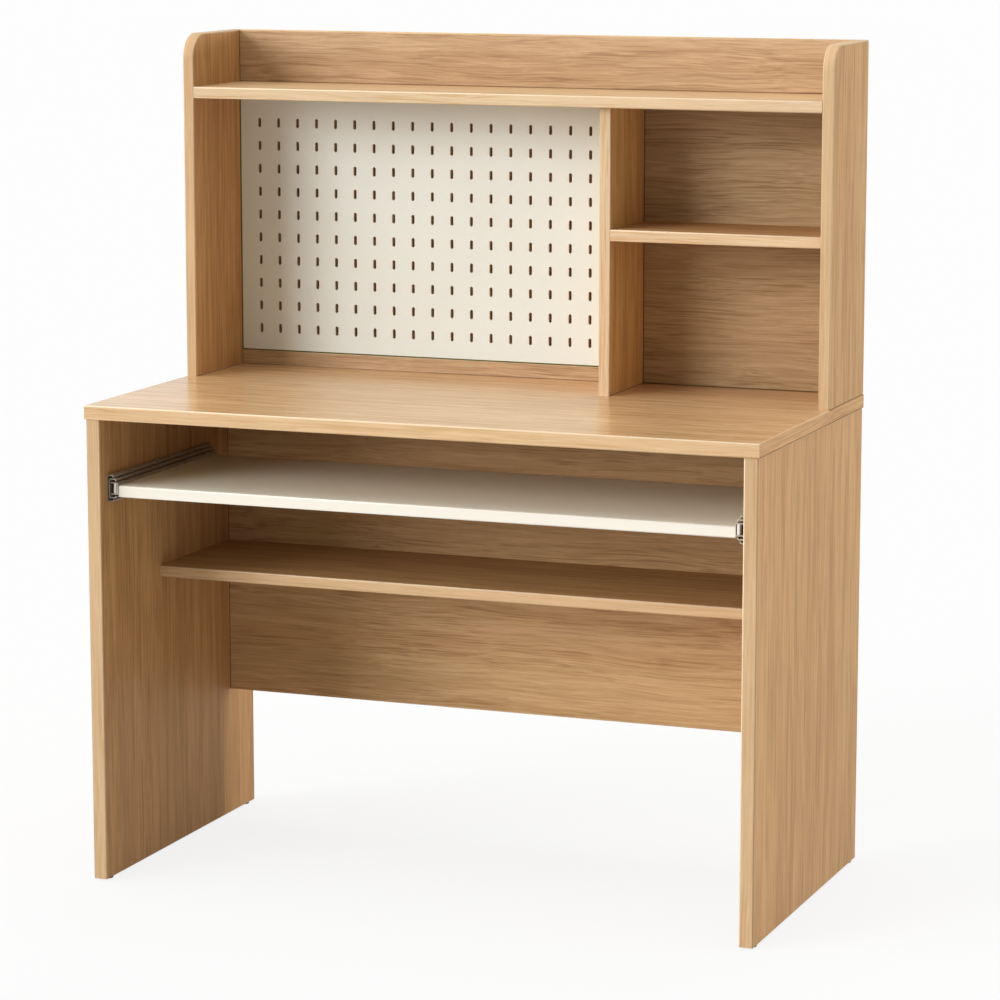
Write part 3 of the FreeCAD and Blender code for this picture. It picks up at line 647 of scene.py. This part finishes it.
WOODS = {      # kind of wood, its direction, and how it differs from plain oak
    "oak_top": dict(kind="oak", streaks=0.9, gloss=0.6, roughness=0.20),
    "oak_shelf_top": dict(kind="shelf top", offset=(0.4, 0.2, 0.0), streaks=0.9, gloss=0.2,
                          roughness=0.35),
    "oak_across": dict(kind="shelf"),
    "oak_modesty": dict(kind="modesty", between=MODESTY_LIT),
    "oak_brown": dict(kind="brown"),
    "oak_back": dict(kind="back", offset=(0.13, 0.0, 0.31)),
    "oak_upright": dict(kind="golden", turn=UPRIGHT, waviness=0.35, streaks=0.78),
    "oak_hutch": dict(kind="hutch", turn=UPRIGHT, offset=(0.37, 0.21, 0.0), waviness=0.4,
                      streaks=0.78),
    "oak_divider": dict(kind="divider", turn=UPRIGHT, offset=(0.61, 0.47, 0.0), waviness=0.4,
                        streaks=0.8),
    "band_across": dict(kind="band", offset=BAND_AT, waviness=0.7),
    "band_hutch": dict(kind="pale band", offset=BAND_AT, waviness=0.7),
    "band_upright": dict(kind="upright band", turn=UPRIGHT, offset=BAND_AT,
                         waviness=0.4),
    "band_divider": dict(kind="pale band", turn=UPRIGHT, offset=(0.2, 0.3, 0.05),
                         waviness=0.4),
    "band_endways": dict(kind="golden", turn=ENDWAYS, offset=BAND_AT, waviness=0.5,
                         streaks=0.7),
    "band_curved": dict(kind="upright band", attribute="strip", waviness=0.4),
    "beech": dict(kind="band", waviness=0.2, streaks=0.2),
}
SHEETS = {     # colour, share of it in the clouds, roughness, pebble, relief, and what differs
    "tray_white": ("tray_white", 0.95, 0.42, 1400.0, 0.10, dict(gloss=0.12)),
    "tray_band": ("tray_edge", 0.97, 0.38, 1400.0, 0.08, {}),
    "cream_paint": ("board_cream", 0.95, 0.55, 700.0, 0.22, {}),
    "raw_core": ("board_core", 0.70, 0.85, 1800.0, 0.5, dict(worn=1.1)),
    "hardboard": ("hardboard", 0.75, 0.70, 1600.0, 0.5, dict(worn=1.1, clouds=160.0)),
    "black_plastic": ((0.022, 0.021, 0.020), 1.6, 0.55, 1200.0, 0.35, dict(worn=2.3)),
    "nylon": ((0.80, 0.80, 0.77), 0.90, 0.40, 900.0, 0.12, {}),
}
METALS = {     # colour, share of it where it is dull, roughness, and what differs
    "slide_zinc": ("slide_zinc", 0.62, 0.42, dict(metallic=0.55)),
    "cage_zinc": ((0.52, 0.50, 0.45), 0.57, 0.42, dict(metallic=0.7)),
    "ball_steel": ((0.80, 0.80, 0.80), 0.78, 0.08, dict(grain=0.2, strength=0.03)),
    "plate_zinc": ((0.60, 0.59, 0.56), 0.64, 0.34, {}),
    "cast_zinc": ((0.46, 0.46, 0.46), 0.65, 0.50, dict(grain=0.6, strength=0.35)),
    "screw_zinc": ((0.66, 0.64, 0.58), 0.62, 0.28, {}),
}


def colour_of(name):
    """A colour given by its name in DeskColours, or as it is."""
    return getattr(bpy.context.scene.desk_colours, name) if isinstance(name, str) else name


def material(name):
    """One of the finishes, made when it is first asked for."""
    made = bpy.data.materials.get(name)
    if made:
        return made
    if name in WOODS:
        return oak(name, **WOODS[name])
    maker, table = (sheet_finish, SHEETS) if name in SHEETS else (plated, METALS)
    rgb, *skin, differs = table[name]
    return maker(name, colour_of(rgb), *skin, **differs)


# ---- pieces
def both(*names):
    """The nodes of these names on the left and on the right."""
    return [side + name for name in names for side in ("left_", "right_")]


def dress(nodes, finish):
    """Gives solids that keep their shape their finish."""
    for name in nodes:
        slots = NODES[name].data.materials
        slots.clear()
        slots.append(material(finish))


class DESK_OT_plain_solids(bpy.types.Operator):
    """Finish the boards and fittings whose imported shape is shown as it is"""

    bl_idname = "desk.plain_solids"
    bl_label = "Plain solids"

    FINISHES = {
        "oak_top": ("desktop",),
        "oak_shelf_top": ("hutch_top_shelf",),
        "oak_modesty": ("modesty_panel",),
        "oak_across": ("lower_shelf",),
        "slide_zinc": both("cabinet_rail", "middle_rail", "tray_rail"),
        "cage_zinc": both("outer_ball_cage", "inner_ball_cage"),
        "ball_steel": both("outer_balls", "inner_balls"),
        "plate_zinc": ("corner_brackets", "shelf_pins"),
        "cast_zinc": ("desk_cam_locks", "hutch_cam_locks"),
        "screw_zinc": ("bracket_screws", "shelf_screws", "hutch_fixing_screws", "rail_screws",
                       *both("cabinet_rail_screws", "tray_rail_screws"),
                       "desk_cam_bolts", "hutch_cam_bolts"),
        "beech": ("wood_dowels",),
        "black_plastic": ("floor_glides",),
    }

    def execute(self, context):
        for finish, nodes in self.FINISHES.items():
            dress(nodes, finish)
        return {"FINISHED"}


class DESK_OT_side_panels(bpy.types.Operator):
    """Build the two desk sides and the bands along their front edges"""

    bl_idname = "desk.side_panels"
    bl_label = "Desk sides"

    OUTER = -0.2             # mark of the band's arris away from the knee space: painted shade
    LEFT_WEAR_AND_HIGHLIGHT = 0.4        # the left band's pale arris has less wear and a weaker painted highlight

    def execute(self, context):
        for side in ("left", "right"):
            board_piece(side + "_side_panel", "oak_upright",
                        seams=("+z",))
            lo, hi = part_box(side + "_side_edge_band")
            band_piece(side + "_side_front_band", lo, hi, 1, lo.y, "band_upright",
                       [side + "_side_edge_band"],
                       pale="+x" if side == "left" else "-x", dull=self.OUTER,
                       wear_and_highlight=self.LEFT_WEAR_AND_HIGHLIGHT if side == "left" else WEAR_AND_HIGHLIGHT)
        return {"FINISHED"}


class DESK_OT_straight_bands(bpy.types.Operator):
    """Build the bands of the desktop, the shelves, the rails and the divider"""

    bl_idname = "desk.straight_bands"
    bl_label = "Straight bands"

    END_LOWER = -0.5         # marks of the desktop's end bands: painted shade on the lower arris, wear and a painted highlight on the upper
    END_UPPER = 0.5

    def execute(self, context):
        lo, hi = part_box("desktop_edge_band")
        core_lo, core_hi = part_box("desktop")
        self.desktop_bands(lo, hi, core_lo, core_hi)
        for node_name, axis, top, finish, pale in (      # top: it faces up, else forward or down
                ("lower_shelf_edge_band", 1, False, "band_across", "+z"),
                ("top_shelf_edge_band", 1, False, "band_hutch", "+z"),
                ("cubby_shelf_edge_band", 1, False, "band_hutch", "+z"),
                ("divider_edge_band", 1, False, "band_divider", "+x"),
                ("upper_rail_edge_band", 2, True, "band_across", None),
                ("modesty_edge_band", 2, False, "band_across", None)):
            lo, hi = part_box(node_name)
            band_piece(node_name + "_strip", lo, hi, axis, (hi if top else lo)[axis], finish,
                       [node_name], pale)
        return {"FINISHED"}

    def desktop_bands(self, lo, hi, core_lo, core_hi):
        """One strip along the front and one on each end, butted behind it."""
        strips = (
            ("desktop_front_band", lo, Vector((hi.x, core_lo.y, hi.z)), 1, lo.y, "band_across"),
            ("desktop_left_band", Vector((lo.x, core_lo.y, lo.z)),
             Vector((core_lo.x, hi.y, hi.z)), 0, lo.x, "band_endways"),
            ("desktop_right_band", Vector((core_hi.x, core_lo.y, lo.z)), hi, 0, hi.x,
             "band_endways"))
        hutch_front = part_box("hutch_left_edge_band")[0].y
        at_end = dict(dull=self.END_LOWER, covered=hutch_front, wear_and_highlight=self.END_UPPER)
        for name, low, high, axis, outer, finish in strips:
            band_piece(name, low, high, axis, outer, finish, ["desktop_edge_band"],
                       **(at_end if axis == 0 else {}))


class DESK_OT_hutch_sides(bpy.types.Operator):
    """Build the hutch sides with their rounded corner, and the band bent round it"""

    bl_idname = "desk.hutch_sides"
    bl_label = "Hutch sides"

    BEND_STEPS = 20          # faces round the corner
    RIM_STEPS = 3
    RIM_MARK = 0.3           # the bent band's arris has a little wear and a faint painted highlight

    def execute(self, context):
        sizes = context.scene.desk_sizes
        for side in ("left", "right"):
            core = "hutch_" + side + "_side"
            strip = "hutch_" + side + "_edge_band"
            lo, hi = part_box(core)
            out_lo, out_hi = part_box(strip)
            thick = out_hi.z - hi.z
            bm = cuboid(lo, hi)
            corner = [e for e in bm.edges if on(e, 1, lo.y) and on(e, 2, hi.z)]
            soften(bm, sizes.corner_radius - thick, self.BEND_STEPS, corner, PLAIN)
            foot = [e for e in bm.edges if on(e, 2, lo.z)]
            soften(bm, sizes.joint_arris, 1, foot, SEAM_SHADE)
            soften(bm, sizes.board_arris, 2, sharp_edges(bm))
            piece(core + "_board", bm, "desk", "oak_hutch", [core])
            self.bent_band(side, strip, out_lo, out_hi, thick, sizes)
        return {"FINISHED"}

    def bent_band(self, side, strip, lo, hi, thick, sizes):
        """Strip up the front edge, round the corner and back along the top."""
        bm = bmesh.new()
        bm.faces.layers.float.new("arris")
        line = [bm.verts.new((lo.x, y, z))
                for y, z in ((lo.y, lo.z), (lo.y, hi.z), (hi.y, hi.z))]
        edges = [bm.edges.new(pair) for pair in zip(line, line[1:])]
        drawn = bmesh.ops.extrude_edge_only(bm, edges=edges)["geom"]
        moved_copy(bm, drawn, Vector((hi.x - lo.x, 0.0, 0.0)))
        corner = [e for e in bm.edges if on(e, 1, lo.y) and on(e, 2, hi.z)]
        soften(bm, sizes.corner_radius, self.BEND_STEPS, corner, PLAIN)
        front = [f for f in bm.faces if on(f, 1, lo.y)][0]
        front.normal_update()
        if front.normal.y > 0:
            bmesh.ops.reverse_faces(bm, faces=bm.faces[:])
        bmesh.ops.solidify(bm, geom=bm.faces[:], thickness=thick)
        bmesh.ops.recalc_face_normals(bm, faces=bm.faces[:])
        bend = Vector((0.0, lo.y + sizes.corner_radius, hi.z - sizes.corner_radius))
        outer = [e for e in sharp_edges(bm) if (on(e, 0, lo.x) or on(e, 0, hi.x))
                 and not self.is_inner(e, bend, sizes.corner_radius - thick / 2)]
        soften(bm, sizes.band_arris, self.RIM_STEPS, outer, self.RIM_MARK)
        strip_layer = bm.verts.layers.float_vector.new("strip")
        for v in bm.verts:
            v[strip_layer] = along_strip(v.co, bend, sizes.corner_radius)
        piece("hutch_" + side + "_bent_band", bm, "desk", "band_curved",
              [strip])

    @staticmethod
    def is_inner(edge, bend, reach):
        """Whether the edge lies on the face that is glued to the board."""
        return all(Vector((0.0, min(0.0, v.co.y - bend.y), max(0.0, v.co.z - bend.z))).length
                   <= reach for v in edge.verts)


def along_strip(co, bend, radius):
    """Place on the bent strip: length along it, across it, and out from its bend."""
    if co.z < bend.z + NEAR:
        return Vector((co.z, co.x, bend.y - co.y))
    if co.y > bend.y - NEAR:
        return Vector((bend.z + radius * math.pi / 2 + co.y - bend.y, co.x, co.z - bend.z))
    angle = math.atan2(co.z - bend.z, bend.y - co.y)
    return Vector((bend.z + radius * angle, co.x, math.hypot(co.y - bend.y, co.z - bend.z)))


class DESK_OT_hutch_boards(bpy.types.Operator):
    """Build the divider, the cubby shelf, the back rails and the back panels"""

    bl_idname = "desk.hutch_boards"
    bl_label = "Hutch boards"

    LINE = 1.4 * MM          # width of the shade in the corners at the back
    RAIL_SHADE = -0.5        # marks of that shade
    CUBBY_SHADE = -0.8

    def execute(self, context):
        board_piece("hutch_divider", "oak_divider", seams=("-z", "+z"))
        board_piece("cubby_shelf", "oak_across", seams=("-x", "+x"))
        shelf_lo, shelf_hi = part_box("hutch_top_shelf")
        divider_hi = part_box("hutch_divider")[1]
        right = shelf_hi.x - self.LINE
        board_piece("upper_back_rail", "oak_brown",
                    rim=(shelf_lo.x + self.LINE, right, shelf_hi.z + self.LINE,
                         self.RAIL_SHADE))
        board_piece("lower_back_rail", "oak_brown",
                    seams=("-x", "+x", "-z", "+z"))
        board_piece("cubby_back_panel", "oak_back",
                    rim=(divider_hi.x + self.LINE, right,
                         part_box("hutch_divider")[0].z + self.LINE, self.CUBBY_SHADE))
        board_piece("pegboard_backing", "hardboard")
        return {"FINISHED"}


class DESK_OT_pegboard(bpy.types.Operator):
    """Build the pegboard with its rows of upright slots"""

    bl_idname = "desk.pegboard"
    bl_label = "Pegboard"

    STEPS = 12               # corners of one slot's outline
    GAP = 2.0 * MM           # shaded line where the sheet enters the grooves at its sides
    FOOT = 1.6 * MM          # shaded line along its lower edge, above the rail
    SLOT_ROUND = 0.3 * MM

    def execute(self, context):
        sizes = context.scene.desk_sizes
        lo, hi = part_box("pegboard")
        bay = (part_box("hutch_left_side")[1].x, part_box("hutch_divider")[0].x)
        bm = bmesh.new()
        bm.faces.layers.float.new("arris")
        corners = [bm.verts.new((x, lo.y, z)) for x, z in
                   ((lo.x, lo.z), (hi.x, lo.z), (hi.x, hi.z), (lo.x, hi.z))]
        for i in range(4):
            bm.edges.new((corners[i - 1], corners[i]))
        first = (sum(bay) - sizes.slot_pitch_x * (sizes.slot_columns - 1)) / 2
        for i in range(sizes.slot_columns):
            for j in range(sizes.slot_rows):
                self.slot(bm, sizes, first + i * sizes.slot_pitch_x, lo.y,
                          lo.z + sizes.slot_rise + j * sizes.slot_pitch_z)
        bmesh.ops.triangle_fill(bm, use_beauty=True, use_dissolve=False, edges=bm.edges[:],
                                normal=(0.0, -1.0, 0.0))
        drawn = bmesh.ops.extrude_face_region(bm, geom=bm.faces[:])["geom"]
        moved_copy(bm, drawn, Vector((0.0, hi.y - lo.y, 0.0)))
        bmesh.ops.recalc_face_normals(bm, faces=bm.faces[:])
        rims = [e for e in sharp_edges(bm) if on(e, 1, lo.y)]
        for f in bm.faces:               # the slots' walls show the raw board
            middle = f.calc_center_median()
            if (abs(f.normal.y) < 0.5 and lo.x + NEAR < middle.x < hi.x - NEAR
                    and lo.z + NEAR < middle.z < hi.z - NEAR):
                f.material_index = 1
        soften(bm, self.SLOT_ROUND, 1, rims)
        for f in bm.faces:
            if f.normal.y < -0.3:
                f.material_index = 0
            f.smooth = False
        rim_lines(bm, bay[0] + self.GAP, bay[1] - self.GAP, lo.z + self.FOOT, SEAM_SHADE)
        piece("pegboard_sheet", bm, "desk", ("cream_paint", "raw_core"),
              ["pegboard"])
        return {"FINISHED"}

    def slot(self, bm, sizes, x, y, z):
        """Outline of one slot: a ring whose two halves are drawn apart."""
        radius = sizes.slot_width / 2
        flat = sizes.slot_length / 2 - radius
        step = math.pi / self.STEPS
        turn = Matrix.Rotation(math.pi / 2, 4, "X") @ Matrix.Rotation(step, 4, "Z")
        ring = bmesh.ops.create_circle(bm, cap_ends=False, segments=self.STEPS,
                                       radius=radius / math.cos(step),
                                       matrix=Matrix.Translation((x, y, z)) @ turn)["verts"]
        for sign in (-1, 1):
            half = [v for v in ring if (v.co.z - z) * sign > 0]
            bmesh.ops.translate(bm, vec=Vector((0.0, 0.0, sign * flat)), verts=half)


class DESK_OT_tray(bpy.types.Operator):
    """Build the keyboard tray, its front band and the stops in its slides"""

    bl_idname = "desk.tray"
    bl_label = "Keyboard tray"

    STOP_IN = 1.2 * MM       # nylon stop in from the sheet beside it
    STOP_ROUND = 1.4 * MM
    STOP_STEPS = 4

    def execute(self, context):
        board_piece("keyboard_tray", "tray_white", "tray")
        lo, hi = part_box("tray_edge_band")
        band_piece("tray_front_band", lo, hi, 1, lo.y, "tray_band", ["tray_edge_band"],
                   body="tray", slot="white_edge_band")
        for side in ("left", "right"):
            node_name = side + "_slide_bumper"
            lo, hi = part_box(node_name)
            lo.x += self.STOP_IN
            hi.x -= self.STOP_IN
            bm = cuboid(lo, hi)
            soften(bm, self.STOP_ROUND, self.STOP_STEPS, bm.edges[:])
            piece(node_name + "_stop", bm, "tray", "nylon", [node_name])
        return {"FINISHED"}


# ---- stage
class DESK_OT_stage(bpy.types.Operator):
    """Set up the floor, the soft lights, the pale surroundings and the camera"""

    bl_idname = "desk.stage"
    bl_label = "Stage"

    AMBIENT = 0.35           # light from all round, as a share of white
    AMBIENT_TINT = (1.0, 0.935, 0.77, 1.0)      # as light that has met wood and walls
    FLOOR_HALF = 80.0        # from the floor's middle to its edge
    FLOOR_BOUNCE = 0.57      # share of the light that the floor sends back up
    FLOOR_PALE = (0.780, 0.800, 0.830, 1.0)     # its colour where it is seen
    FLOOR_GLOW = 0.84        # how far the seen floor is white of itself
    SEEN_WHITE = 0.98        # the surroundings where they are seen
    LAMPS = (                # name, strength, spread, and direction: left of the front, and up
        ("key", 1.58, math.radians(28), (math.radians(35), math.radians(14))),
        ("side", 1.25, math.radians(40), (math.radians(58), math.radians(22))),
        ("overhead", 1.50, math.radians(60), (0.0, math.radians(88))),
        ("fill", 1.08, math.radians(3), (math.radians(-96), math.radians(0.5))),
        ("behind", 0.80, math.radians(50), (math.radians(175), math.radians(15))),
    )
    CAMERA_AT = (2.0929, -5.3289, 1.5638)
    CAMERA_TURN = (math.radians(90 - 9.63), 0.0, math.radians(21.1))
    LENS = 134.54
    SENSOR = 36.0
    FAR = 100.0              # the camera sees no further
    LAMP_AT = 5.0            # lamps stand this far off, which a sun lamp's light ignores

    def execute(self, context):
        self.floor()
        self.world(context.scene)
        for lamp in self.LAMPS:
            self.lamp(*lamp)
        self.camera(context.scene)
        return {"FINISHED"}

    @staticmethod
    def seen(tree):
        """1 for what the camera, a reflection or glass sees, and 0 for the light itself."""
        path = node(tree, "LightPath")
        first = calc(tree, "MAXIMUM", path.outputs["Is Camera Ray"],
                     path.outputs["Is Glossy Ray"])
        return calc(tree, "MAXIMUM", first, path.outputs["Is Transmission Ray"])

    def floor(self):
        bm = bmesh.new()
        bmesh.ops.create_grid(bm, x_segments=1, y_segments=1, size=self.FLOOR_HALF)
        ground = mesh_object("floor", bm)
        made = bpy.data.materials.new("studio_floor")
        made.use_nodes = True
        tree = made.node_tree
        tree.nodes.clear()
        end = node(tree, "OutputMaterial")
        bounce = node(tree, "BsdfDiffuse", into={"Color": four([self.FLOOR_BOUNCE] * 3)})
        pale = node(tree, "BsdfDiffuse", into={"Color": self.FLOOR_PALE})
        glow = node(tree, "Emission", into={"Color": (1.0, 1.0, 1.0, 1.0), "Strength": 1.0})
        lit = node(tree, "MixShader", into={0: self.FLOOR_GLOW})
        mixed = node(tree, "MixShader")
        join(tree, (pale.outputs[0], lit.inputs[1]), (glow.outputs[0], lit.inputs[2]),
             (self.seen(tree), mixed.inputs[0]), (bounce.outputs[0], mixed.inputs[1]),
             (lit.outputs[0], mixed.inputs[2]), (mixed.outputs[0], end.inputs["Surface"]))
        ground.data.materials.append(made)

    def world(self, scene):
        scene.view_settings.view_transform = "Standard"
        scene.world = bpy.data.worlds.new("studio")
        scene.world.use_nodes = True
        tree = scene.world.node_tree
        back = tree.nodes["Background"]
        seen = self.seen(tree)
        tint = mix_rgb(tree, seen, self.AMBIENT_TINT, (1.0, 1.0, 1.0, 1.0))
        strength = plus(tree, self.AMBIENT, times(tree, seen, self.SEEN_WHITE - self.AMBIENT))
        join(tree, (tint, back.inputs["Color"]), (strength, back.inputs["Strength"]))

    def lamp(self, name, strength, spread, direction):
        """Broad soft light that falls alike everywhere."""
        data = bpy.data.lights.new(name, "SUN")
        data.energy = strength
        data.angle = spread
        made = bpy.data.objects.new(name, data)
        side, rise = direction
        back = Vector((-math.sin(side) * math.cos(rise), -math.cos(side) * math.cos(rise),
                       math.sin(rise)))
        made.location = back * self.LAMP_AT
        made.rotation_euler = (-back).to_track_quat("-Z", "Y").to_euler()
        made.visible_glossy = name != "behind"         # no glare off the desktop
        bpy.context.scene.collection.objects.link(made)

    def camera(self, scene):
        data = bpy.data.cameras.new("camera")
        data.lens = self.LENS
        data.sensor_width = self.SENSOR
        data.clip_end = self.FAR
        made = bpy.data.objects.new("camera", data)
        made.location = self.CAMERA_AT
        made.rotation_euler = Euler(self.CAMERA_TURN)
        scene.collection.objects.link(made)
        scene.camera = made


# ---- add-on
STEPS = (DESK_OT_stage, DESK_OT_plain_solids, DESK_OT_side_panels, DESK_OT_straight_bands,
         DESK_OT_hutch_sides, DESK_OT_hutch_boards, DESK_OT_pegboard, DESK_OT_tray)


class DESK_PT_panel(bpy.types.Panel):
    """Sizes, colours and building steps of the desk"""

    bl_idname = "DESK_PT_panel"
    bl_label = "Student desk"
    bl_space_type = "VIEW_3D"
    bl_region_type = "UI"
    bl_category = "Desk"

    def draw(self, context):
        for holder in (context.scene.desk_sizes, context.scene.desk_colours):
            column = self.layout.column(align=True)
            for name in holder.__annotations__:
                column.prop(holder, name)
        column = self.layout.column(align=True)
        for step in STEPS:
            column.operator(step.bl_idname)


CLASSES = (DeskSizes, DeskColours, *STEPS, DESK_PT_panel)


def register():
    for one in CLASSES:
        bpy.utils.register_class(one)
    bpy.types.Scene.desk_sizes = bpy.props.PointerProperty(type=DeskSizes)
    bpy.types.Scene.desk_colours = bpy.props.PointerProperty(type=DeskColours)


def unregister():
    del bpy.types.Scene.desk_colours
    del bpy.types.Scene.desk_sizes
    for one in reversed(CLASSES):
        bpy.utils.unregister_class(one)


def main():
    register()
    bpy.ops.desk.stage()
    bpy.ops.desk.plain_solids()
    bpy.ops.desk.side_panels()
    bpy.ops.desk.straight_bands()
    bpy.ops.desk.hutch_sides()
    bpy.ops.desk.hutch_boards()
    bpy.ops.desk.pegboard()
    bpy.ops.desk.tray()


if __name__ == "__main__":
    main()
